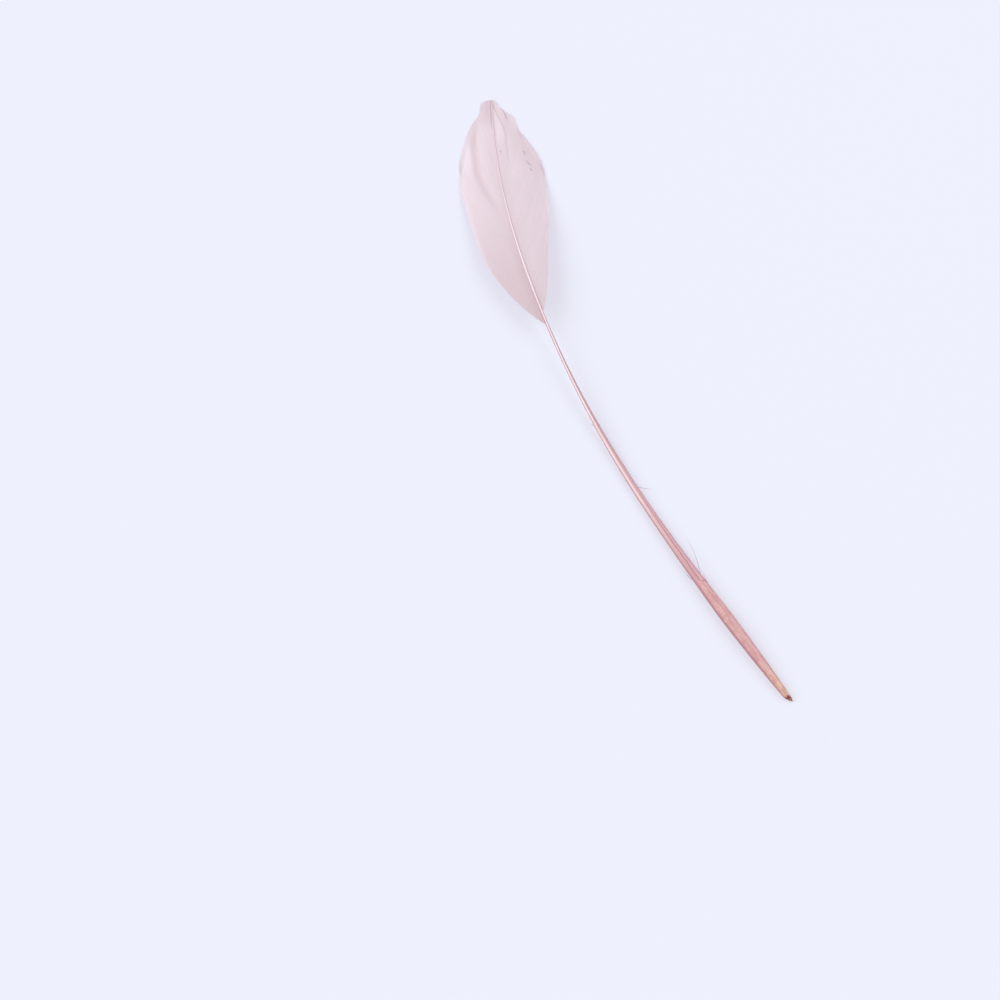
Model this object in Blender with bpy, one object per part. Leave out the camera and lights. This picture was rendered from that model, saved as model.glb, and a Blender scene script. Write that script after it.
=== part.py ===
"""A goose quill feather, trimmed so that its web is left only at the tip, lying on its underside.

+X runs from the quill's open end to the feather's tip, +Y is the feather's left side and +Z is up.
The origin is the middle of the feather's footprint, on the surface that it lies on.
"""

import math

import bmesh
import bpy
from mathutils import Vector

MM = 0.001

# Driving dimensions. A place along the shaft is a fraction: 0 at the quill's open end, 1 at the tip.
SHAFT_LENGTH = 160.0 * MM
BASE_HEADING = math.radians(12.0)  # the shaft's bearing in plan at the quill, left of +X
BOW = math.radians(35.0)  # how far the bearing has swung to the right at the tip

# The shaft is as wide as it is high, and tapers both ways from the thick of the quill.
SHAFT_WIDTH = [
    (0.00, 1.3 * MM),
    (0.05, 2.1 * MM),
    (0.14, 2.8 * MM),
    (0.21, 2.4 * MM),
    (0.32, 1.8 * MM),
    (0.45, 1.35 * MM),
    (0.55, 0.85 * MM),
    (0.70, 0.6 * MM),
    (1.00, 0.3 * MM),
]
QUILL_ROUNDNESS = 2.0  # superellipse exponent of the round quill
RACHIS_SQUARENESS = 3.0  # and of the squarer rachis past it
SQUARE_FROM = 0.14
SQUARE_TO = 0.26

# The quill is hollow from its open end to the small scar where the rachis begins.
WALL = 0.35 * MM
BORE_END = 0.19

# The shaft lies on the surface up to LIFT_START, then arches and comes down again at the tip.
LIFT = 4.0 * MM
LIFT_START = 0.36
LIFT_PEAK = 0.70

# Each web starts at a place along the shaft. Its margin is given by fractions of the web's length and
# the distance out from the shaft's side. The shaft's sides hold it at a part of the shaft's height.
LEFT_START = 0.636
RIGHT_START = 0.655
LEFT_MARGIN = [
    (0.00, 0.6 * MM),
    (0.10, 3.6 * MM),
    (0.20, 6.2 * MM),
    (0.30, 7.9 * MM),
    (0.45, 8.6 * MM),
    (0.62, 9.2 * MM),
    (0.74, 8.6 * MM),
    (0.84, 6.5 * MM),
    (0.90, 4.8 * MM),
    (0.94, 3.0 * MM),
    (1.00, 2.4 * MM),
]
RIGHT_MARGIN = [
    (0.00, 0.6 * MM),
    (0.10, 2.2 * MM),
    (0.20, 4.8 * MM),
    (0.32, 7.1 * MM),
    (0.45, 9.2 * MM),
    (0.60, 10.2 * MM),
    (0.70, 9.7 * MM),
    (0.80, 7.4 * MM),
    (0.87, 5.4 * MM),
    (0.925, 4.5 * MM),
    (0.955, 2.3 * MM),
    (1.00, 0.6 * MM),
]
WEB_THICKNESS = 0.3 * MM
WEB_ROOT_HEIGHT = 0.62
WEB_DROOP = 1.6 * MM  # how far the web's camber brings it down at CAMBER_WIDTH from the shaft
CAMBER_WIDTH = 10.0 * MM
TOUCH_GAP = 0.3 * MM  # left between two pieces that touch

SHAFT_SIDES = 16
SHAFT_STATIONS = 56
BORE_STATIONS = 12
WEB_STATIONS = 30
WEB_ROWS = 6
SPINE_STEPS = 400
CREASE_ANGLE = math.radians(50.0)  # edges sharper than this are shaded as corners


def clear_scene():
    for thing in list(bpy.data.objects):
        bpy.data.objects.remove(thing)


def smooth_value(points, at):
    """The value at a place on the smooth curve through (place, value) points."""
    slopes = []
    for i in range(len(points)):
        before = points[max(i - 1, 0)]
        after = points[min(i + 1, len(points) - 1)]
        slopes.append((after[1] - before[1]) / (after[0] - before[0]))
    for i in range(len(points) - 1):
        start, value = points[i]
        end, next_value = points[i + 1]
        if at <= end:
            break
    span = end - start
    u = min(max((at - start) / span, 0.0), 1.0)
    rise = u * u * (3 - 2 * u)
    return (
        value * (1 - rise)
        + next_value * rise
        + slopes[i] * span * u * (1 - u) ** 2
        - slopes[i + 1] * span * u * u * (1 - u)
    )


def ease(start, end, at):
    """0 before start, 1 after end, and a smooth step between them."""
    u = min(max((at - start) / (end - start), 0.0), 1.0)
    return u * u * (3 - 2 * u)


def heading(place):
    return BASE_HEADING - BOW * place**2


def make_spine():
    """The shaft's line in plan, as evenly spaced points from the quill's end to the tip."""
    step = SHAFT_LENGTH / SPINE_STEPS
    points = [Vector((0.0, 0.0, 0.0))]
    for i in range(SPINE_STEPS):
        angle = heading((i + 0.5) / SPINE_STEPS)
        points.append(points[-1] + Vector((math.cos(angle), math.sin(angle), 0.0)) * step)
    return points


SPINE = make_spine()


def spine_point(place):
    along = min(max(place, 0.0), 1.0) * SPINE_STEPS
    i = min(int(along), SPINE_STEPS - 1)
    return SPINE[i].lerp(SPINE[i + 1], along - i)


def left_of(place):
    """The level direction to the shaft's left."""
    angle = heading(place)
    return Vector((-math.sin(angle), math.cos(angle), 0.0))


def half_width(place):
    return smooth_value(SHAFT_WIDTH, place) / 2


def lift(place):
    """How far the shaft's underside is above the surface."""
    if place < LIFT_PEAK:
        return LIFT * ease(LIFT_START, LIFT_PEAK, place)
    return LIFT * (1 - ease(LIFT_PEAK, 1.0, place))


def shaft_ring(place, inset=0.0):
    """Points round the shaft at a place, or round its bore when they are inset by the wall."""
    squared = ease(SQUARE_FROM, SQUARE_TO, place)
    exponent = 2 / (QUILL_ROUNDNESS + (RACHIS_SQUARENESS - QUILL_ROUNDNESS) * squared)
    half = half_width(place)
    centre = spine_point(place) + Vector((0.0, 0.0, lift(place) + half))
    side = left_of(place)
    ring = []
    for i in range(SHAFT_SIDES):
        angle = 2 * math.pi * i / SHAFT_SIDES
        across = math.copysign(abs(math.cos(angle)) ** exponent, math.cos(angle))
        up = math.copysign(abs(math.sin(angle)) ** exponent, math.sin(angle))
        ring.append(centre + side * across * (half - inset) + Vector((0.0, 0.0, up * (half - inset))))
    return ring


def loft(mesh, rings):
    """Joins closed rings of points in turn with quads, and returns the rings' vertices."""
    loops = [[mesh.verts.new(point) for point in ring] for ring in rings]
    for a, b in zip(loops, loops[1:]):
        for i in range(len(a)):
            j = (i + 1) % len(a)
            mesh.faces.new((a[i], a[j], b[j], b[i]))
    return loops


def add_object(name, mesh, colour, roughness):
    """Makes an object from a bmesh, shaded smooth, with its own material."""
    bmesh.ops.recalc_face_normals(mesh, faces=mesh.faces)
    data = bpy.data.meshes.new(name)
    mesh.to_mesh(data)
    mesh.free()
    data.shade_smooth()
    data.set_sharp_from_angle(angle=CREASE_ANGLE)
    material = bpy.data.materials.new(name)
    material.use_nodes = True
    shader = material.node_tree.nodes["Principled BSDF"]
    shader.inputs["Base Color"].default_value = (*colour, 1.0)
    shader.inputs["Roughness"].default_value = roughness
    shader.inputs["Metallic"].default_value = 0.0
    data.materials.append(material)
    made = bpy.data.objects.new(name, data)
    bpy.context.collection.objects.link(made)
    return made


def make_shaft():
    """Quill and rachis in one: a tapering tube that is hollow at the quill and solid past it."""
    mesh = bmesh.new()
    tip_to_end = [1 - i / SHAFT_STATIONS for i in range(SHAFT_STATIONS + 1)]
    into_bore = [BORE_END * i / BORE_STATIONS for i in range(BORE_STATIONS + 1)]
    rings = [shaft_ring(place) for place in tip_to_end]
    rings += [shaft_ring(place, inset=WALL) for place in into_bore]
    loops = loft(mesh, rings)
    mesh.faces.new(loops[0])
    mesh.faces.new(loops[-1])
    return add_object("shaft", mesh, colour=(0.72, 0.45, 0.42), roughness=0.4)


def web_height(place, out):
    """The web's height at a distance out from the shaft's side: held at the shaft, and cambered down."""
    root = lift(place) + 2 * half_width(place) * WEB_ROOT_HEIGHT
    drooped = root - WEB_DROOP * (out / CAMBER_WIDTH) ** 2
    return max(drooped, WEB_THICKNESS / 2)


def make_web(name, side, start, margin):
    """One web: a thin cambered leaf. side is 1 for the left of the shaft and -1 for the right."""
    mesh = bmesh.new()
    rows = []
    for i in range(WEB_STATIONS + 1):
        fraction = i / WEB_STATIONS
        place = start + (1 - start) * fraction
        width = smooth_value(margin, fraction)
        row = []
        for j in range(WEB_ROWS + 1):
            out = TOUCH_GAP + (width - TOUCH_GAP) * j / WEB_ROWS
            offset = left_of(place) * side * (half_width(place) + out)
            height = Vector((0.0, 0.0, web_height(place, out)))
            row.append(mesh.verts.new(spine_point(place) + offset + height))
        rows.append(row)
    for a, b in zip(rows, rows[1:]):
        for j in range(WEB_ROWS):
            mesh.faces.new((a[j], a[j + 1], b[j + 1], b[j]))
    web = add_object(name, mesh, colour=(0.78, 0.62, 0.66), roughness=0.7)
    thicken = web.modifiers.new("thickness", "SOLIDIFY")
    thicken.thickness = WEB_THICKNESS
    thicken.offset = 0.0
    return web


def centre_on_surface(pieces):
    """Parents the pieces to an empty that puts the middle of their footprint at the origin."""
    bpy.context.view_layer.update()
    evaluated = [piece.evaluated_get(bpy.context.evaluated_depsgraph_get()) for piece in pieces]
    corners = [vertex.co.copy() for piece in evaluated for vertex in piece.data.vertices]
    low = Vector([min(corner[axis] for corner in corners) for axis in range(3)])
    high = Vector([max(corner[axis] for corner in corners) for axis in range(3)])
    feather = bpy.data.objects.new("feather", None)
    bpy.context.collection.objects.link(feather)
    feather.location = (-(low.x + high.x) / 2, -(low.y + high.y) / 2, -low.z)
    for piece in pieces:
        piece.parent = feather


def main():
    clear_scene()
    shaft = make_shaft()
    left_web = make_web("left_vane", 1, LEFT_START, LEFT_MARGIN)
    right_web = make_web("right_vane", -1, RIGHT_START, RIGHT_MARGIN)
    centre_on_surface([shaft, left_web, right_web])


main()
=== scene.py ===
"""The looks of a trimmed goose quill feather, dyed dusty pink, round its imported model.

The shaft becomes one finely cut piece of horn, and each web becomes its separate barbs. Distances
are in metres. A place is a fraction along the shaft: 0 at the quill's open end and 1 at the tip.
"""

import math

import bmesh
import bpy
import numpy as np
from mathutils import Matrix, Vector


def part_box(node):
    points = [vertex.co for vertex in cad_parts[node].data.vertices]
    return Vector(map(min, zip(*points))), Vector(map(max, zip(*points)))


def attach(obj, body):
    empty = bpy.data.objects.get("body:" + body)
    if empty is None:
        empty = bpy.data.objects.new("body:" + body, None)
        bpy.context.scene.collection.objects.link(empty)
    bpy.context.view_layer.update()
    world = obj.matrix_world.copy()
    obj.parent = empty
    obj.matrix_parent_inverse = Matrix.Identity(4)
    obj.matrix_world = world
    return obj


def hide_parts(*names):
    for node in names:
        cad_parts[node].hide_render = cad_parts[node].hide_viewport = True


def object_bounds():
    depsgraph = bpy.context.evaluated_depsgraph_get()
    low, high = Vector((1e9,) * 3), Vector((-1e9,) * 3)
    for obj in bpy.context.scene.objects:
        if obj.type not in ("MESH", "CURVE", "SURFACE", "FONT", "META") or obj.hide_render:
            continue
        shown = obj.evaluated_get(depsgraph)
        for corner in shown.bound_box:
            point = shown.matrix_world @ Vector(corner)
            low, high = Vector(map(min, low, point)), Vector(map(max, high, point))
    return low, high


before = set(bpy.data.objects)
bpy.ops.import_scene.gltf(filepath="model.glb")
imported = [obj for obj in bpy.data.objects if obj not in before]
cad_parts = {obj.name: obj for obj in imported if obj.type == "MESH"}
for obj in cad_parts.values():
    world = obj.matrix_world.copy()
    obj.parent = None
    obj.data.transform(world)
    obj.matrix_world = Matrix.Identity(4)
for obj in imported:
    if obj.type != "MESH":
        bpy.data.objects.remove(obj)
cad_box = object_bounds()

MM = 0.001
LEFT = 1  # sides of the shaft, as seen from above with the tip ahead
RIGHT = -1

# The feather's driving dimensions, as its model has them.
SHAFT_LENGTH = 160.0 * MM
BASE_HEADING = math.radians(12.0)
BOW = math.radians(35.0)
SHAFT_WIDTH = [
    (0.00, 1.3 * MM),
    (0.05, 2.1 * MM),
    (0.14, 2.8 * MM),
    (0.21, 2.4 * MM),
    (0.32, 1.8 * MM),
    (0.45, 1.35 * MM),
    (0.55, 0.85 * MM),
    (0.70, 0.6 * MM),
    (1.00, 0.3 * MM),
]
WALL = 0.35 * MM
BORE_END = 0.19
LIFT = 4.0 * MM
LIFT_START = 0.36
LIFT_PEAK = 0.70
LEFT_START = 0.636
RIGHT_START = 0.655
LEFT_MARGIN = [
    (0.00, 0.6 * MM),
    (0.10, 3.6 * MM),
    (0.20, 6.2 * MM),
    (0.30, 7.9 * MM),
    (0.45, 8.6 * MM),
    (0.62, 9.2 * MM),
    (0.74, 8.6 * MM),
    (0.84, 6.5 * MM),
    (0.90, 4.8 * MM),
    (0.94, 3.0 * MM),
    (1.00, 2.4 * MM),
]
RIGHT_MARGIN = [
    (0.00, 0.6 * MM),
    (0.10, 2.2 * MM),
    (0.20, 4.8 * MM),
    (0.32, 7.1 * MM),
    (0.45, 9.2 * MM),
    (0.60, 10.2 * MM),
    (0.70, 9.7 * MM),
    (0.80, 7.4 * MM),
    (0.87, 5.4 * MM),
    (0.925, 4.5 * MM),
    (0.955, 2.3 * MM),
    (1.00, 0.6 * MM),
]
WEB_ROOT_HEIGHT = 0.62
WEB_DROOP = 1.6 * MM
CAMBER_WIDTH = 10.0 * MM
SPINE_STEPS = 400
CAD_RINGS = 57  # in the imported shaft

# Barbs. Each leaves the shaft's side, bends towards the tip and ends on the web's margin.
BARBS = 120
BARB_STEPS = 48
LAST_ROOT = 0.995  # the web fraction at which the last barb leaves the shaft
FIRST_REACH = 0.31  # and at which the lowest barb ends
REACH_POWER = 1.765  # gathers the last barbs' ends at the tip
BEND_ALONG = 0.28  # where a barb bends, as parts of its run along the shaft and out from it
BEND_OUT = 0.54
SQUARE_CORNER = 0.04  # the last part of the left web, where its margin turns in to the shaft
SLOPED_CORNER = 0.075  # and of the right web
LOOSENED = 0.028  # how much further the right web's loose upper barbs reach, as a part of their reach
UNEVEN = 0.008  # how much the barbs' reaches differ at random
ROOT_INSET = 0.12 * MM  # how deep in the shaft a barb is rooted
BARB_OVERLAP = 1.35  # a barb's own width, in shares of the web
BARB_SECTION = [(-1, 0), (-0.3, 0.4), (0, 1), (0.3, 0.4), (1, 0), (0.3, -0.4), (0, -1), (-0.3, -0.4)]
RIDGE = 0.012 * MM
KEEL = 0.045 * MM  # a barb is deeper below than above
SHINGLE = 0.008 * MM  # how far a barb's edge tucks under the next, at most
SHINGLE_SLOPE = 0.04  # and as a part of the barb's half width
END_NARROWING = 0.45  # how much narrower a barb is at its end
END_FLATTENING = 0.6  # and how much flatter
LOWEST = 0.09 * MM  # the least height of a barb's middle
GATHERING = 0.11  # how much neighbouring ends cling together
FRINGE_FIBRES = 3  # fine fibres that each barb ends in
PATTERN_STEP = 1.7  # sets each barb's pattern apart from its neighbour's
ALONG_BARB = np.linspace(0, 1, BARB_STEPS + 1)[None, :]

# The webs' waves and folds.
WEB_LENGTH = 57.0 * MM  # about that of either web
WAVE = 0.10 * MM
RIPPLE = 0.05 * MM
LEFT_FOLD_DEPTH = 0.33 * MM
RIGHT_FOLD_STEP = 0.14 * MM

# Shaft.
SHAFT_RINGS = 800
BORE_RINGS = 60
SHAFT_SIDES = 64
ROLL = math.radians(25.0)  # turns the ridge to the left, so that the stripped right side shows
ROLL_HOLDS = 0.50  # the place up to which the roll is full
ROLL_ENDS = 0.68  # and where it has gone
SCAR = 0.207  # the place where the quill ends and the stripped bands begin
GROOVE_DEPTH = 0.10  # depths in the shaft's skin are parts of its half width
FLANK_DEPTH = 0.07
FURROW_DEPTH = 0.22
PIT_DEPTH = 0.20
RIBS = 14  # fine lengthwise ribs and furrows in the horn
DENTS = 16
CUT_SLANT = 0.55 * MM  # how far the slanting cut end runs along the shaft, either way from its middle
CUT_LEAST = 0.3 * MM
LEAST_RADIUS = 0.02 * MM
SHARP_ANGLE = math.radians(60.0)  # edges sharper than this are shaded as corners

# Hairs and flakes: the place and side of the root, its height on the shaft in half widths from the middle,
# and the moves from the root to the bend and to the end in mm.
HAIRS = [
    (0.216, RIGHT, 0.3, (5.6, -1.25, 0.3), (8.7, -0.5, 0.7)),
    (0.367, RIGHT, 0.2, (-1.1, -1.5, 0.3), (-1.9, -2.6, 0.4)),
    (0.474, LEFT, 0.1, (0.4, 0.4, 0.0), (1.0, 0.5, -0.2)),
    (0.215, LEFT, -0.1, (1.5, 0.9, -0.4), (3.0, 0.7, -0.7)),
]
FLAKES = [
    (0.199, RIGHT, 0.55, (1.1, 0.05, 0.10), (2.3, 0.10, 0.02)),
    (0.203, RIGHT, 0.20, (0.8, -0.25, 0.05), (1.7, -0.20, 0.0)),
    (0.197, LEFT, 0.10, (0.8, 0.20, 0.05), (1.8, 0.25, 0.0)),
]
HAIR_RADIUS = 0.04 * MM
FLAKE_RADII = np.array([0.15, 0.10, 0.08]) * MM
STUBS = 420

# Snags on the right web: the web fraction, then the distance out from the shaft and the length in mm.
SNAGS = [
    (0.75, 6.1, 0.8),
    (0.74, 6.3, 0.5),
    (0.70, 6.5, 0.4),
    (0.69, 6.8, 1.2),
    (0.66, 7.1, 0.9),
    (0.76, 0.8, 0.4),
]
SNAG_RADIUS = 0.045 * MM

# The camera is nearly overhead and looks from the quill towards the tip.
CAMERA_AZIMUTH = -114.3
CAMERA_ELEVATION = 75.0
CAMERA_DISTANCE = 529.3 * MM
CAMERA_AIM = Vector((-11.0 * MM, 30.9 * MM, 0.0))
CAMERA_LENS = 85.0

# Lights: azimuth, elevation and how wide the light looks, in degrees, and its strength.
LIGHTS = {
    "left_softbox": (140, 36, 44, 1.80),
    "right_softbox": (10, 50, 42, 0.87),
}
LIGHT_COLOUR = (0.985, 0.99, 1.0)
PAPER = np.array([0.855, 0.871, 0.982])  # how bright the floor looks
AMBIENT = (0.60, 0.57, 0.60)  # the sky as it lights the feather and the floor
FLOOR_DYE = np.array([0.749, 0.7815, 0.854])
FLOOR_GLOW = np.array([0.58, 0.50, 0.51])  # the share of its light that the floor gives off itself
FLOOR_SIZE = 40.0
FLOOR_DROP = 0.02 * MM  # how far the floor is below the feather


def srgb(red, green, blue):
    """A colour as a screen shows it, 0 to 255, in Blender's linear values."""
    parts = np.array([red, green, blue]) / 255
    return tuple(np.where(parts <= 0.04045, parts / 12.92, ((parts + 0.055) / 1.055) ** 2.4))


# ---- the feather's shape ----


def smooth_value(points, at):
    """Values at places on the smooth curve through (place, value) points."""
    places, values = np.array(points).T
    at = np.asarray(at, dtype=float)
    ahead, behind = np.append(places[1:], places[-1]), np.insert(places[:-1], 0, places[0])
    after, before = np.append(values[1:], values[-1]), np.insert(values[:-1], 0, values[0])
    slopes = (after - before) / (ahead - behind)
    i = np.clip(np.searchsorted(places, at, side="left") - 1, 0, len(places) - 2)
    span = places[i + 1] - places[i]
    u = np.clip((at - places[i]) / span, 0.0, 1.0)
    rise = u * u * (3 - 2 * u)
    straight = values[i] * (1 - rise) + values[i + 1] * rise
    return straight + slopes[i] * span * u * (1 - u) ** 2 - slopes[i + 1] * span * u * u * (1 - u)


def ease(start, end, at):
    """0 before start, 1 after end, and a smooth step between them."""
    u = np.clip((np.asarray(at, dtype=float) - start) / (end - start), 0.0, 1.0)
    return u * u * (3 - 2 * u)


def bump(middle, width, at):
    """1 at the middle, falling smoothly away to either side."""
    return np.exp(-(((np.asarray(at, dtype=float) - middle) / width) ** 2))


def round_bump(middle, width, angle):
    """The same bump over an angle in degrees, which wraps at 360."""
    away = (np.asarray(angle, dtype=float) - middle + 180) % 360 - 180
    return np.exp(-((away / width) ** 2))


def heading(place):
    return BASE_HEADING - BOW * place**2


def make_spine():
    """The shaft's line in plan, as evenly spaced points from the quill's end to the tip."""
    angles = heading((np.arange(SPINE_STEPS) + 0.5) / SPINE_STEPS)
    steps = np.stack([np.cos(angles), np.sin(angles)], axis=1) * SHAFT_LENGTH / SPINE_STEPS
    return np.vstack([np.zeros((1, 2)), np.cumsum(steps, axis=0)])


SPINE = make_spine()


def spine_point(place):
    marks = np.linspace(0, 1, SPINE_STEPS + 1)
    return np.stack([np.interp(place, marks, SPINE[:, 0]), np.interp(place, marks, SPINE[:, 1])], axis=-1)


def left_of(place):
    """The level direction to the shaft's left."""
    angle = heading(np.asarray(place, dtype=float))
    return np.stack([-np.sin(angle), np.cos(angle)], axis=-1)


def half_width(place):
    return smooth_value(SHAFT_WIDTH, place) / 2


def lift(place):
    """How far the shaft's underside is above the floor."""
    place = np.asarray(place, dtype=float)
    rise = ease(LIFT_START, LIFT_PEAK, place)
    fall = 1 - ease(LIFT_PEAK, 1.0, place)
    return LIFT * np.where(place < LIFT_PEAK, rise, fall)


def web_height(place, out):
    """The web's height at a distance out from the shaft's side."""
    root = lift(place) + 2 * half_width(place) * WEB_ROOT_HEIGHT
    return np.maximum(root - WEB_DROOP * (out / CAMBER_WIDTH) ** 2, LOWEST)


def find_row_shift():
    """The move from the shaft's own line to the row frame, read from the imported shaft's box."""
    places = np.linspace(0, 1, CAD_RINGS)
    side = left_of(places) * half_width(places)[:, None]
    edges = np.concatenate([spine_point(places) + side, spine_point(places) - side])
    low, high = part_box("shaft")
    middle = (edges.min(axis=0) + edges.max(axis=0)) / 2
    return np.array([(low[0] + high[0]) / 2 - middle[0], (low[1] + high[1]) / 2 - middle[1], low[2]])


ROW_SHIFT = find_row_shift()


# ---- meshes ----


class Mesh:
    """Points, faces and values at the points, gathered part by part into one object."""

    def __init__(self):
        self.points, self.faces, self.values = [], [], {}
        self.count = 0

    def add_tubes(self, rings, **values):
        """Adds capped tubes. rings is tubes x rings x sides x 3, and each value spreads over its points."""
        tubes, steps, sides = rings.shape[:3]
        i, j = np.meshgrid(np.arange(steps - 1), np.arange(sides), indexing="ij")
        k = (j + 1) % sides
        quads = np.stack([i * sides + j, i * sides + k, (i + 1) * sides + k, (i + 1) * sides + j], axis=-1)
        starts = self.count + np.arange(tubes) * steps * sides
        self.faces += (quads.reshape(1, -1, 4) + starts[:, None, None]).reshape(-1, 4).tolist()
        for first in (0, (steps - 1) * sides):
            self.faces += (np.arange(sides)[None, :] + first + starts[:, None]).tolist()
        self.points.append(rings.reshape(-1, 3))
        for name, value in values.items():
            self.values.setdefault(name, []).append(np.broadcast_to(value, rings.shape[:3]).reshape(-1))
        self.count += tubes * steps * sides

    def build(self, name, material):
        mesh = bpy.data.meshes.new(name)
        mesh.from_pydata((np.concatenate(self.points) + ROW_SHIFT).tolist(), [], self.faces)
        for title, parts in self.values.items():
            layer = mesh.attributes.new(title, "FLOAT", "POINT")
            layer.data.foreach_set("value", np.concatenate(parts).astype(np.float32))
        solid = bmesh.new()
        solid.from_mesh(mesh)
        bmesh.ops.recalc_face_normals(solid, faces=solid.faces)
        solid.to_mesh(mesh)
        solid.free()
        mesh.shade_smooth()
        mesh.set_sharp_from_angle(angle=SHARP_ANGLE)
        mesh.materials.append(material)
        made = bpy.data.objects.new(name, mesh)
        bpy.context.scene.collection.objects.link(made)
        return made


def perpendicular_part(vectors, along):
    return vectors - (vectors * along).sum(axis=-1, keepdims=True) * along


def unit(vectors):
    return vectors / np.maximum(np.linalg.norm(vectors, axis=-1, keepdims=True), 1e-12)


def fibre_rings(lines, radii, sides=5):
    """Tubes round lines (fibres x steps x 3) that taper to a point from radii at their roots."""
    along = unit(np.gradient(lines, axis=1))
    level = unit(np.cross(along, np.array([0.0, 0.0, 1.0]) + 0 * along))
    upward = np.cross(level, along)
    v = np.linspace(0, 1, lines.shape[1])[None, :, None, None]
    turn = (np.arange(sides) * 2 * math.pi / sides)[None, None, :, None]
    radius = radii[:, None, None, None] * (1 - 0.85 * v**2)
    offset = level[:, :, None] * np.cos(turn) + upward[:, :, None] * np.sin(turn)
    return lines[:, :, None] + offset * radius


def curve_lines(start, middle, end, steps=9):
    """Lines (fibres x steps x 3) from start to end that bend towards the middle."""
    v = np.linspace(0, 1, steps)[None, :, None]
    return start[:, None] * (1 - v) ** 2 + middle[:, None] * 2 * v * (1 - v) + end[:, None] * v**2


# ---- the webs ----


def left_fold_line(fraction):
    """How far out from the shaft the left web's lengthwise fold runs."""
    return 0.6 * MM + 4.0 * MM * ease(0.40, 0.72, fraction)


def right_fold_line(fraction):
    return 2.4 * MM * (1 - ease(0.84, 1.0, fraction))


def fold_height(side, fraction, out):
    """How far the web's gentle waves and its lengthwise fold raise it."""
    along = fraction * WEB_LENGTH
    wave = WAVE * np.sin(along / (6.5 * MM) + side * 1.3 + out / (3.1 * MM))
    wave += RIPPLE * np.sin(along / (2.9 * MM) - out / (1.7 * MM) + side)
    wave *= ease(0.0, 3.0 * MM, out)
    if side == LEFT:
        fold = -LEFT_FOLD_DEPTH * bump(left_fold_line(fraction), 1.0 * MM, out)
        return wave + fold * ease(0.42, 0.62, fraction) * (1 - ease(0.90, 0.96, fraction))
    line = right_fold_line(fraction)
    step = ease(line - 0.15 * MM, line + 0.15 * MM, out) * (1 - ease(line, line + 2.5 * MM, out))
    return wave + RIGHT_FOLD_STEP * step * ease(0.66, 0.74, fraction)


def barb_ends(side, margin, rng):
    """Each barb's root and end, as web fractions, and its end's distance out from the shaft's side."""
    roots = np.linspace(0.0, LAST_ROOT, BARBS)
    ends = 1 - (1 - FIRST_REACH) * (1 - roots) ** REACH_POWER
    turn = SQUARE_CORNER if side == LEFT else SLOPED_CORNER
    corner = np.clip((ends - 1 + turn) / turn, 0, 1)
    out = smooth_value(margin, ends) * (1 - corner**4) ** 0.25
    if side == RIGHT:
        out *= 1 + LOOSENED * bump(0.76, 0.13, ends)
    return roots, ends, out * rng.normal(1.0, UNEVEN, BARBS)


def gather_ends(ends, rng):
    """Pulls neighbouring barbs' ends together in small clumps, as the loosened ends cling."""
    pulled = ends.copy()
    first = 0
    while first < len(ends):
        last = min(first + rng.integers(4, 11), len(ends))
        middle = ends[first:last].mean()
        pulled[first:last] += (middle - ends[first:last]) * GATHERING
        first = last
    return pulled


def barb_lines(side, start, roots, ends, pulled, reach):
    """The barbs' middle lines, with the web fraction and the distance out at each of their points."""
    v = ALONG_BARB
    bend = roots + (ends - roots) * BEND_ALONG
    fraction = roots[:, None] * (1 - v) ** 2 + bend[:, None] * 2 * v * (1 - v) + ends[:, None] * v**2
    fraction = fraction + (pulled - ends)[:, None] * v**6
    out = reach[:, None] * (2 * v * (1 - v) * BEND_OUT + v**2) - ROOT_INSET * (1 - v)
    place = start + (1 - start) * fraction
    plan = spine_point(place) + side * left_of(place) * (half_width(place) + out)[..., None]
    outside = np.maximum(out, 0.0)
    height = web_height(place, outside) + fold_height(side, fraction, outside)
    lines = np.concatenate([plan, np.maximum(height, LOWEST)[..., None]], axis=-1)
    return lines, fraction, outside


def barb_rings(lines):
    """Ridged rings round the barbs' lines, how far sideways their points are, and the steps between ends."""
    along = unit(np.gradient(lines, axis=1))
    to_next = perpendicular_part(np.gradient(lines, axis=0), along)
    share = np.linalg.norm(to_next, axis=-1)
    normal = unit(np.cross(along, unit(to_next)))
    normal *= np.sign(normal[..., 2:])
    across = unit(perpendicular_part(to_next, normal))
    half = share * BARB_OVERLAP / 2 * (1 - END_NARROWING * ease(0.965, 1.0, ALONG_BARB))
    flattening = 1 - END_FLATTENING * ALONG_BARB
    tuck = np.minimum(SHINGLE, SHINGLE_SLOPE * half)
    rings = []
    for sideways, up in BARB_SECTION:
        rise = up * (RIDGE if up > 0 else KEEL) * flattening - sideways * tuck
        rings.append(lines + across * (half * sideways)[..., None] + normal * rise[..., None])
    sideways = np.array([s for s, _ in BARB_SECTION]) * half[..., None]
    return np.stack(rings, axis=2), sideways, across[:, -1] * share[:, -1:]


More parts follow.
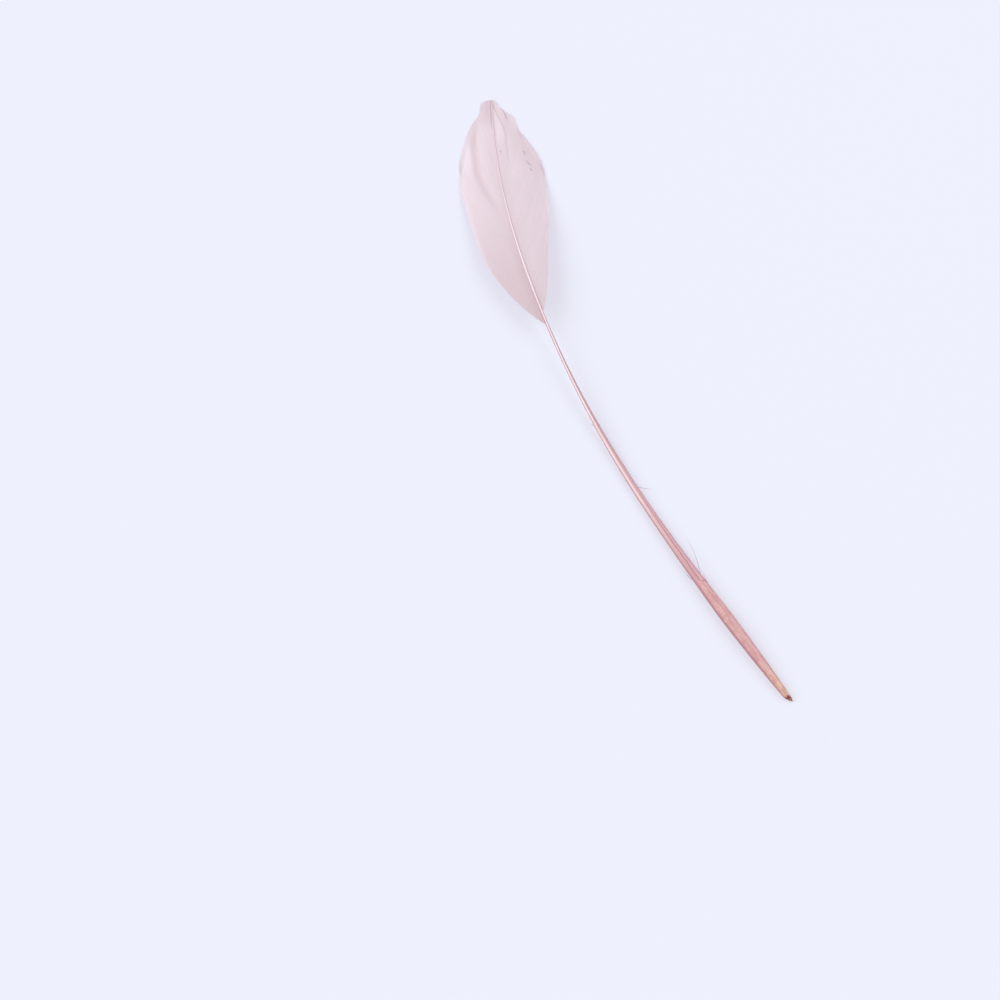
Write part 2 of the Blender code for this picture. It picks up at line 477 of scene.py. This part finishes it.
def make_barbs(name, side, start, margin, seed, material):
    """One web as its separate barbs, each a thin closed blade that ends in a few fine fibres."""
    rng = np.random.default_rng(seed)
    roots, ends, reach = barb_ends(side, margin, rng)
    pulled = gather_ends(ends, rng)
    lines, fraction, out = barb_lines(side, start, roots, ends, pulled, reach)
    rings, sideways, to_next = barb_rings(lines)
    steps = np.linalg.norm(np.diff(lines, axis=1, prepend=lines[:, :1]), axis=-1)
    distance = np.cumsum(steps, axis=1)
    tone = rng.uniform(0, 1, BARBS)
    blush = web_blush(side, fraction, out)
    # Painted light: paler towards the barbs' thin ends, most on the left.
    painted_edge_light = 0.6 if side == LEFT else 0.2
    pale = np.maximum(painted_edge_light * ease(0.80, 1.0, ALONG_BARB), web_painted_light(side, fraction, out))
    mesh = Mesh()
    mesh.add_tubes(
        rings,
        tone=tone[:, None, None],
        blush=blush[..., None],
        crease=web_crease(side, fraction, out)[..., None],
        pale=pale[..., None],
        distance=distance[..., None] / MM,
        sideways=sideways / MM,
        number=np.arange(BARBS)[:, None, None] * PATTERN_STEP,
    )
    barb = np.repeat(np.arange(BARBS), FRINGE_FIBRES)
    # The fringe fibres are pale all over, as painted light.
    mesh.add_tubes(
        fringe_rings(lines[barb], to_next[barb], rng),
        tone=tone[barb][:, None, None],
        blush=blush[barb, -1][:, None, None],
        crease=0.0,
        pale=1.0,
        distance=distance[barb, -1][:, None, None] / MM,
        sideways=0.0,
        number=barb[:, None, None] * PATTERN_STEP,
    )
    return mesh.build(name, material)


def fringe_rings(lines, to_next, rng):
    """Fine fibres that carry barbs on past their ends, each a little apart from its neighbours."""
    start = lines[:, -4]
    ahead = unit(lines[:, -1] - start)
    run = np.linalg.norm(lines[:, -1] - start, axis=-1, keepdims=True)
    count = len(lines)
    reach = run + rng.uniform(0.05, 0.25, (count, 1)) * MM
    drift = to_next * rng.normal(0, 0.7, (count, 1)) + rng.normal(0, 0.03, (count, 3)) * MM * (1, 1, 0.3)
    end = start + ahead * reach + drift * 1.6
    end[:, 2] = np.maximum(end[:, 2], LOWEST)
    middle = start + ahead * reach * 0.6 + drift * 0.5
    return fibre_rings(curve_lines(start, middle, end, steps=7), rng.uniform(0.012, 0.02, count) * MM)


def web_blush(side, fraction, out):
    """How much deeper pink the web is: painted shade low on the webs, most on the left, and along the left
    fold, where the web tilts or folds away from the light; and deeper pink in the tuft at the tip, close to
    the shaft and high on the right web's outer part.
    """
    near_shaft = 0.22 * bump(0.0, 1.4 * MM, out) * (1 - ease(0.55, 0.8, fraction))
    if side == LEFT:
        # Painted shade: darker low on the left web, which tilts away from the light.
        low = 0.60 * (1 - ease(0.15, 0.62, fraction))
        tuft = 0.35 * ease(0.87, 0.93, fraction)
        # Painted shade along the left web's lengthwise fold.
        fold = 0.40 * bump(left_fold_line(fraction), 0.9 * MM, out) * ease(0.42, 0.62, fraction)
        return near_shaft + low + tuft + fold
    # Painted shade: a little darker low on the right web.
    low = 0.14 * (1 - ease(0.15, 0.55, fraction))
    high = 0.32 * ease(0.6, 0.8, fraction) * ease(4.0 * MM, 7.0 * MM, out)
    return near_shaft + low + high


def web_painted_light(side, fraction, out):
    """1 where light is painted on the thin web as a paler colour: beside its folds, high on either side of
    the shaft.
    """
    high = bump(0.80, 0.10, fraction)
    if side == LEFT:
        beyond_fold = ease(5.0 * MM, 6.5 * MM, out)
        return high * (beyond_fold + 0.25 * bump(2.4 * MM, 1.0 * MM, out))
    line = right_fold_line(fraction)
    inside_fold = 0.5 * (1 - ease(0.8, 1.0, out / np.maximum(line, 0.1 * MM))) * ease(0.74, 0.86, fraction)
    beyond_fold = 0.35 * bump(line + 0.8 * MM, 0.6 * MM, out) * bump(0.75, 0.10, fraction)
    return (inside_fold + beyond_fold) * ease(0.2 * MM, 0.6 * MM, out)


def web_crease(side, fraction, out):
    """1 along the fine creases near the tip, where dark lines of shade are painted."""
    if side == LEFT:
        edge = 0.45 * bump(0.1 * MM, 0.16 * MM, out) * ease(0.86, 0.92, fraction)
        return edge + 0.2 * bump(1.0 * MM, 0.15 * MM, out) * ease(0.93, 0.96, fraction)
    inner = 0.42 * bump(right_fold_line(fraction), 0.12 * MM, out) * ease(0.68, 0.75, fraction)
    flap = 10.5 * MM * np.sqrt(np.maximum(1 - fraction, 0.0))
    return inner + 0.75 * bump(flap, 0.15 * MM, out) * ease(0.895, 0.925, fraction)


# ---- the shaft ----


def shaft_section(place, angle):
    """Across and up, in half widths, round the shaft. The round quill becomes a ridged and grooved rachis.

    Angles are in degrees from the right side, up over the ridge at 90.
    """
    turn = np.radians(angle)
    rachis = ease(SCAR - 0.035, SCAR + 0.06, place)
    exponent = 2 / (2.0 + rachis)
    across = np.sign(np.cos(turn)) * np.abs(np.cos(turn)) ** exponent
    up = np.sign(np.sin(turn)) * np.abs(np.sin(turn)) ** exponent
    grooves = round_bump(50, 6, angle) + round_bump(130, 6, angle)
    sides = round_bump(12, 20, angle) + round_bump(168, 20, angle)
    furrow = round_bump(270, 15, angle) * ease(SCAR, SCAR + 0.1, place)
    pit = round_bump(270, 22, angle) * bump(SCAR - 0.012, 0.006, place)
    hollows = rachis * (GROOVE_DEPTH * grooves + FLANK_DEPTH * sides)
    radius = 1 - hollows - FURROW_DEPTH * furrow - PIT_DEPTH * pit
    roll = ROLL * (1 - ease(ROLL_HOLDS, ROLL_ENDS, place))
    turned_across = (across * np.cos(roll) - up * np.sin(roll)) * radius
    turned_up = (up * np.cos(roll) + across * np.sin(roll)) * radius
    widest = np.abs(turned_across).max(axis=1, keepdims=True)
    highest, lowest = turned_up.max(axis=1, keepdims=True), turned_up.min(axis=1, keepdims=True)
    return turned_across / widest, (2 * turned_up - highest - lowest) / (highest - lowest)


def surface_relief(place, angle, rng):
    """Fine lengthwise ribs and shallow dents in the horn, as a part of its radius."""
    relief = np.zeros(np.broadcast_shapes(place.shape, angle.shape))
    for _ in range(RIBS):
        middle, width = rng.uniform(0, 360), rng.uniform(4, 9)
        begin, length = rng.uniform(0.0, 0.8), rng.uniform(0.05, 0.3)
        band = round_bump(middle, width, angle) * bump(begin + length / 2, length / 2, place)
        relief += rng.uniform(-0.02, 0.015) * band
    for _ in range(DENTS):
        middle, width = rng.uniform(0, 360), rng.uniform(15, 40)
        dent = round_bump(middle, width, angle) * bump(rng.uniform(0.0, 0.2), 0.006, place)
        relief -= rng.uniform(0.0, 0.025) * dent
    return relief


def shaft_rings(rng):
    """Rings from the tip down the outside to the quill's cut end, and back up inside the bore."""
    outside = np.linspace(1.0, 0.0, SHAFT_RINGS)
    inside = np.linspace(0.0, BORE_END, BORE_RINGS)
    place = np.concatenate([outside, inside])[:, None]
    inset = np.concatenate([np.zeros(SHAFT_RINGS), np.full(BORE_RINGS, WALL)])[:, None]
    angle = (np.arange(SHAFT_SIDES) * 360 / SHAFT_SIDES)[None, :]
    across, up = shaft_section(place, angle)
    relief = 1 + surface_relief(place, angle, rng)
    half = half_width(place)
    radius = np.maximum(half - inset, LEAST_RADIUS) * relief
    radius = radius * np.where(inset > 0, 1.0, 1 - 0.18 * bump(0.0, 0.0016, place))
    turn = np.radians(angle)
    ragged = 0.25 * MM * np.sin(turn * 2 + 0.6) + 0.12 * MM * np.sin(turn * 7)
    slant = CUT_SLANT * (1 + np.sin(np.radians(angle - 20))) + ragged + CUT_LEAST
    cut_back = np.maximum(slant * (1 - ease(0.0, 0.02, place)), 0)
    shown = place + cut_back / SHAFT_LENGTH
    plan = spine_point(shown) - left_of(shown) * (across * radius)[..., None]
    height = lift(shown) + half + up * radius
    return np.concatenate([plan, height[..., None]], axis=-1), place, angle, inset


def make_shaft(material):
    """Quill and rachis in one, with values at its points that say where each marking is."""
    rng = np.random.default_rng(5)
    rings, place, angle, inset = shaft_rings(rng)
    stripped = ease(SCAR - 0.01, SCAR + 0.012, place)
    ridge = ease(76, 84, angle) * (1 - ease(102, 112, angle))
    groove = bump(73, 6, angle) * ease(SCAR - 0.004, SCAR + 0.004, place) * (1 - ease(0.27, 0.40, place))
    groove += 0.6 * bump(56, 6, angle) * ease(0.13, 0.16, place) * (1 - ease(SCAR - 0.01, SCAR, place))
    groove += 0.7 * bump(45, 14, angle) * bump(SCAR - 0.002, 0.0015, place)
    # The darker left flank is partly a dark line the quill has and partly painted shade.
    left_edge = ease(100, 135, angle) * (1 - ease(190, 220, angle)) * (1 - ease(0.26, 0.52, place))
    # Painted highlight: a pale pink streak along the quill's right side.
    band = bump(48, 9, angle) * ease(0.02, 0.05, place) * (1 - ease(0.27, 0.36, place))
    half = half_width(place) / MM
    mesh = Mesh()
    mesh.add_tubes(
        rings[None],
        place=place,
        ridge=ridge * stripped,
        stripped=stripped,
        groove=groove + 0.8 * left_edge,
        band=band,
        amber=1 - ease(0.0, 0.085, place),
        # Dark red at the cut end; inside the bore half of it is painted shade.
        rim=np.maximum(bump(0.0, 0.003, place), inset / WALL * 0.5),
        round_x=np.cos(np.radians(angle)) * half,
        round_y=np.sin(np.radians(angle)) * half,
        distance=place * SHAFT_LENGTH / MM,
    )
    return mesh.build("quill_shaft", material)


# ---- hairs, stubs and snags ----


def shaft_side_point(place, side, up):
    """A point on the shaft's side. up is in half widths from the middle of its height."""
    plan = spine_point(place) + side * left_of(place) * (half_width(place) * 0.9)[..., None]
    height = lift(place) + half_width(place) * (1 + up)
    return np.concatenate([plan, height[..., None]], axis=-1)


def stub_lines(rng, count):
    """Short broken barb roots, in a row along each stripped side."""
    side = np.where(np.arange(count) % 2, LEFT, RIGHT)
    place = np.sort(rng.uniform(SCAR + 0.01, LEFT_START - 0.005, count))
    start = shaft_side_point(place, side[:, None], np.where(side == RIGHT, 0.25, -0.1))
    length = rng.uniform(0.10, 0.34, count) * MM * (0.5 + half_width(place) / MM / 2)
    forward = np.stack([np.cos(heading(place)), np.sin(heading(place))], axis=-1)
    reach = unit(forward + 0.6 * side[:, None] * left_of(place)) * length[:, None]
    end = start + np.concatenate([reach, rng.uniform(-0.08, 0.05, (count, 1)) * MM], axis=1)
    middle = (start + end) / 2 + rng.normal(0, 0.03 * MM, (count, 3))
    return curve_lines(start, middle, end, steps=4)


def hair_line(place, side, up, bend, end):
    """One long hair from the shaft's side. bend and end are moves from its root in x, y and z, in mm."""
    start = shaft_side_point(np.array([place]), side, up)
    return curve_lines(start, start + np.array([bend]) * MM, start + np.array([end]) * MM, steps=17)


def snag_lines(rng):
    """Short broken bits of barb that stand up from the right web near its margin."""
    lines = []
    for fraction, out, length in SNAGS:
        place = np.array([RIGHT_START + (1 - RIGHT_START) * fraction])
        plan = spine_point(place) - left_of(place) * (half_width(place) + out * MM)[:, None]
        height = web_height(place, out * MM) + fold_height(RIGHT, np.array([fraction]), out * MM) + 0.05 * MM
        start = np.concatenate([plan, height[:, None]], axis=-1)
        end = start + np.array([[-0.9, -0.35, 0.08]]) * length * MM
        middle = (start + end) / 2 + rng.normal(0, 0.06 * MM, (1, 3)) + np.array([[0, 0, 0.1 * MM]])
        lines.append(curve_lines(start, middle, end, steps=9))
    return np.concatenate(lines)


def make_hairs(material):
    rng = np.random.default_rng(8)
    stubs = stub_lines(rng, STUBS)
    hairs = np.concatenate([hair_line(*hair) for hair in HAIRS])
    flakes = np.concatenate([hair_line(*flake) for flake in FLAKES])
    snags = snag_lines(rng)
    mesh = Mesh()
    mesh.add_tubes(fibre_rings(stubs, rng.uniform(0.02, 0.045, STUBS) * MM), shade=0.45)
    mesh.add_tubes(fibre_rings(hairs, np.full(len(HAIRS), HAIR_RADIUS)), shade=1.0)
    mesh.add_tubes(fibre_rings(flakes, FLAKE_RADII, sides=6), shade=0.25)
    mesh.add_tubes(fibre_rings(snags, np.full(len(SNAGS), SNAG_RADIUS)), shade=1.0)
    return mesh.build("stray_hairs", material)


# ---- materials ----


def new_material(name):
    material = bpy.data.materials.new(name)
    material.use_nodes = True
    tree = material.node_tree
    return material, tree, tree.nodes["Principled BSDF"]


def attribute(tree, name):
    node = tree.nodes.new("ShaderNodeAttribute")
    node.attribute_name = name
    return node.outputs["Fac"]


def attribute_vector(tree, *names):
    """A vector made of three of the mesh's values."""
    node = tree.nodes.new("ShaderNodeCombineXYZ")
    for name, socket in zip(names, node.inputs):
        tree.links.new(attribute(tree, name), socket)
    return node.outputs["Vector"]


def mix(tree, factor, a, b):
    """Mixes two colours, each a socket or a colour, and returns the result's socket."""
    node = tree.nodes.new("ShaderNodeMix")
    node.data_type = "RGBA"
    for socket, value in ((node.inputs[0], factor), (node.inputs[6], a), (node.inputs[7], b)):
        if isinstance(value, bpy.types.NodeSocket):
            tree.links.new(value, socket)
        elif np.ndim(value):
            socket.default_value = (*value, 1.0)
        else:
            socket.default_value = value
    return node.outputs[2]


def stretched_noise(tree, vector, stretch, detail=3.0, low=0.3, high=0.7):
    """Noise over a stretched vector, spread from 0 at low to 1 at high."""
    mapping = tree.nodes.new("ShaderNodeMapping")
    mapping.inputs["Scale"].default_value = stretch
    tree.links.new(vector, mapping.inputs["Vector"])
    noise = tree.nodes.new("ShaderNodeTexNoise")
    noise.inputs["Scale"].default_value = 1.0
    noise.inputs["Detail"].default_value = detail
    tree.links.new(mapping.outputs["Vector"], noise.inputs["Vector"])
    return spread(tree, noise.outputs["Fac"], low, high)


def spread(tree, value, low, high, to_low=0.0, to_high=1.0):
    """Maps a value between low and high to one between to_low and to_high, and stops at either."""
    node = tree.nodes.new("ShaderNodeMapRange")
    node.inputs["From Min"].default_value = low
    node.inputs["From Max"].default_value = high
    node.inputs["To Min"].default_value = to_low
    node.inputs["To Max"].default_value = to_high
    tree.links.new(value, node.inputs["Value"])
    return node.outputs["Result"]


def add_bump(tree, shader, height, strength, distance):
    node = tree.nodes.new("ShaderNodeBump")
    node.inputs["Strength"].default_value = strength
    node.inputs["Distance"].default_value = distance
    tree.links.new(height, node.inputs["Height"])
    tree.links.new(node.outputs["Normal"], shader.inputs["Normal"])


def barb_material():
    """Dyed barbs: a pale dusty pink that deepens in places, partly as painted shade, with painted shade in
    the creases near the tip, painted light on the pale parts, and fine barbules across.
    """
    material, tree, shader = new_material("dyed_barbs")
    vector = attribute_vector(tree, "distance", "sideways", "number")
    colour = mix(tree, attribute(tree, "tone"), srgb(217, 204, 209), srgb(220, 207, 212))
    # Deeper pink: painted shade low on the webs and along the left fold, and deeper colour in the tuft, near
    # the shaft and high on the right.
    colour = mix(tree, attribute(tree, "blush"), colour, srgb(198, 175, 180))
    mottle = stretched_noise(tree, vector, (0.25, 1.0, 0.12))
    colour = mix(tree, spread(tree, mottle, 0, 1, 0.0, 0.25), colour, srgb(208, 191, 197))
    # Painted shade: dark lines in the creases near the tip.
    colour = mix(tree, attribute(tree, "crease"), colour, srgb(150, 118, 132))
    # Painted light: paler beside the folds, towards the thin barb ends and on the fringe.
    colour = mix(tree, spread(tree, attribute(tree, "pale"), 0, 1, 0.0, 0.45), colour, srgb(240, 231, 240))
    tree.links.new(colour, shader.inputs["Base Color"])
    shader.inputs["Roughness"].default_value = 0.6
    shader.inputs["Sheen Weight"].default_value = 0.2
    shader.inputs["Sheen Roughness"].default_value = 0.4
    shader.inputs["Specular IOR Level"].default_value = 0.3
    barbules = stretched_noise(tree, vector, (14.0, 4.0, 1.0), detail=1.0)
    add_bump(tree, shader, barbules, strength=0.2, distance=0.015 * MM)
    return material


def rachis_colour(tree, place):
    """A cream ridge between pink stripped sides, both paler towards the tip."""
    side = mix(tree, spread(tree, place, 0.42, 0.56), srgb(208, 165, 171), srgb(190, 157, 162))
    side = mix(tree, spread(tree, place, 0.62, 0.70), side, srgb(214, 195, 200))
    ridge = mix(tree, spread(tree, place, 0.20, 0.42), srgb(194, 147, 141), srgb(238, 219, 214))
    ridge = mix(tree, spread(tree, place, 0.46, 0.60), ridge, srgb(248, 230, 236))
    ridge = mix(tree, spread(tree, place, 0.74, 0.92), ridge, srgb(224, 205, 211))
    return mix(tree, attribute(tree, "ridge"), side, ridge)


def quill_colour(tree, vector):
    """A mottled pink, amber at the open end, with pale spots and darker rings."""
    mottle = stretched_noise(tree, vector, (0.45, 1.1, 1.1), detail=4.0, low=0.38, high=0.66)
    pink = mix(tree, mottle, srgb(204, 152, 152), srgb(222, 178, 168))
    amber = mix(tree, mottle, srgb(206, 160, 128), srgb(232, 206, 172))
    quill = mix(tree, attribute(tree, "amber"), pink, amber)
    spots = stretched_noise(tree, vector, (1.3, 2.2, 2.2), low=0.58, high=0.66)
    quill = mix(tree, spread(tree, spots, 0, 1, 0.0, 0.55), quill, srgb(240, 216, 206))
    rings = stretched_noise(tree, vector, (1.6, 0.12, 0.12), detail=2.0, low=0.52, high=0.62)
    return mix(tree, spread(tree, rings, 0, 1, 0.0, 0.3), quill, srgb(182, 120, 122))


def streaked(tree, colour, place, streaks):
    """Darker lengthwise streaks, strong on the quill and faint under the webs."""
    strength = mix(tree, spread(tree, place, 0.20, 0.24), (0.40, 0.40, 0.40), (0.26, 0.26, 0.26))
    strength = mix(tree, spread(tree, place, 0.60, 0.70), strength, (0.06, 0.06, 0.06))
    strength = mix(tree, streaks, strength, (0.0, 0.0, 0.0))
    return mix(tree, strength, colour, srgb(184, 134, 142))


def horn_material():
    """The shaft's horn, from the pink quill to the ridged rachis, with dark lines along it and its dark cut
    rim; painted shade darkens its lower left flank and the inside of the bore, and a painted highlight runs
    along the quill's right side.
    """
    material, tree, shader = new_material("quill_horn")
    place = attribute(tree, "place")
    vector = attribute_vector(tree, "distance", "round_x", "round_y")
    colour = mix(tree, attribute(tree, "stripped"), quill_colour(tree, vector), rachis_colour(tree, place))
    # Painted highlight along the quill's right side.
    colour = mix(tree, spread(tree, attribute(tree, "band"), 0, 1, 0.0, 0.7), colour, srgb(222, 182, 187))
    streaks = stretched_noise(tree, vector, (0.10, 7.0, 7.0), low=0.35, high=0.65)
    colour = streaked(tree, colour, place, streaks)
    # Dark lines beside the ridge, down the quill and at the scar, and the left flank's painted shade.
    colour = mix(tree, attribute(tree, "groove"), colour, srgb(164, 112, 116))
    # Dark red cut rim, and painted shade inside the bore.
    colour = mix(tree, attribute(tree, "rim"), colour, srgb(150, 84, 78))
    tree.links.new(colour, shader.inputs["Base Color"])
    gloss = stretched_noise(tree, vector, (0.3, 3.0, 3.0), detail=2.0)
    tree.links.new(spread(tree, gloss, 0, 1, 0.32, 0.55), shader.inputs["Roughness"])
    add_bump(tree, shader, streaks, strength=0.35, distance=0.03 * MM)
    return material


def hair_material():
    """Pale down that darkens, by its shade value, to the dusky hairs and snags."""
    material, tree, shader = new_material("stray_hair")
    colour = mix(tree, attribute(tree, "shade"), srgb(236, 214, 222), srgb(128, 102, 122))
    coordinates = tree.nodes.new("ShaderNodeTexCoord").outputs["Object"]
    patches = stretched_noise(tree, coordinates, (900.0, 900.0, 900.0), detail=2.0)
    colour = mix(tree, spread(tree, patches, 0, 1, 0.0, 0.3), colour, srgb(214, 178, 186))
    tree.links.new(colour, shader.inputs["Base Color"])
    shader.inputs["Roughness"].default_value = 0.6
    return material


def floor_material():
    """A plain pale sheet. It gives off part of its light itself, which keeps the shadows on it pale."""
    material, tree, shader = new_material("pale_floor")
    coordinates = tree.nodes.new("ShaderNodeTexCoord").outputs["Object"]
    cloud = stretched_noise(tree, coordinates, (3.0, 3.0, 3.0))
    dye = FLOOR_DYE * (1 - FLOOR_GLOW)
    tree.links.new(mix(tree, cloud, dye, dye * 1.01), shader.inputs["Base Color"])
    shader.inputs["Emission Color"].default_value = (*(PAPER * FLOOR_GLOW), 1.0)
    shader.inputs["Emission Strength"].default_value = 1.0
    shader.inputs["Roughness"].default_value = 0.9
    shader.inputs["Specular IOR Level"].default_value = 0.1
    return material


# ---- the stage ----


def make_floor():
    height = cad_box[0][2] - FLOOR_DROP
    bpy.ops.mesh.primitive_plane_add(size=FLOOR_SIZE, location=(0.0, 0.0, height))
    floor = bpy.context.object
    floor.name = "floor"
    floor.data.materials.append(floor_material())


def direction(azimuth, elevation):
    """From the feather towards something seen at an azimuth and elevation, in degrees."""
    a, e = math.radians(azimuth), math.radians(elevation)
    return Vector((math.sin(a) * math.cos(e), -math.cos(a) * math.cos(e), math.sin(e)))


def aim_back(thing, back):
    """Turns a light or camera to look opposite to the direction back, and adds it to the scene."""
    thing.rotation_mode = "QUATERNION"
    thing.rotation_quaternion = back.to_track_quat("Z", "Y")
    bpy.context.scene.collection.objects.link(thing)


def make_light(name, azimuth, elevation, spread_angle, strength):
    """A wide soft light from far away, so that it falls evenly over the whole floor."""
    data = bpy.data.lights.new(name, "SUN")
    data.angle = math.radians(spread_angle)
    data.energy = strength
    data.color = LIGHT_COLOUR
    light = bpy.data.objects.new(name, data)
    aim_back(light, direction(azimuth, elevation))


def make_world():
    """A soft even sky. Where it is seen directly it is as bright as the floor, so that no horizon shows."""
    world = bpy.data.worlds.new("soft_sky")
    world.use_nodes = True
    tree = world.node_tree
    sky = tree.nodes["Background"]
    seen = tree.nodes.new("ShaderNodeLightPath").outputs["Is Camera Ray"]
    tree.links.new(mix(tree, seen, AMBIENT, PAPER), sky.inputs["Color"])
    bpy.context.scene.world = world


def make_camera():
    data = bpy.data.cameras.new("camera")
    data.lens = CAMERA_LENS
    data.clip_start = 0.01
    data.clip_end = 20.0
    camera = bpy.data.objects.new("camera", data)
    back = direction(CAMERA_AZIMUTH, CAMERA_ELEVATION)
    camera.location = CAMERA_AIM + back * CAMERA_DISTANCE
    aim_back(camera, back)
    bpy.context.scene.camera = camera


def main():
    barbs = barb_material()
    left_web = make_barbs("left_barbs", LEFT, LEFT_START, LEFT_MARGIN, seed=11, material=barbs)
    right_web = make_barbs("right_barbs", RIGHT, RIGHT_START, RIGHT_MARGIN, seed=12, material=barbs)
    shaft = make_shaft(horn_material())
    hairs = make_hairs(hair_material())
    for piece, node, slot in (
        (left_web, "left_vane", "vane"),
        (right_web, "right_vane", "vane"),
        (shaft, "shaft", "shaft"),
        (hairs, "shaft", "shaft"),
    ):
        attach(piece, "root")
        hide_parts(node)
    make_floor()
    make_world()
    for name, light in LIGHTS.items():
        make_light(name, *light)
    make_camera()
    bpy.context.scene.view_settings.view_transform = "Standard"


main()
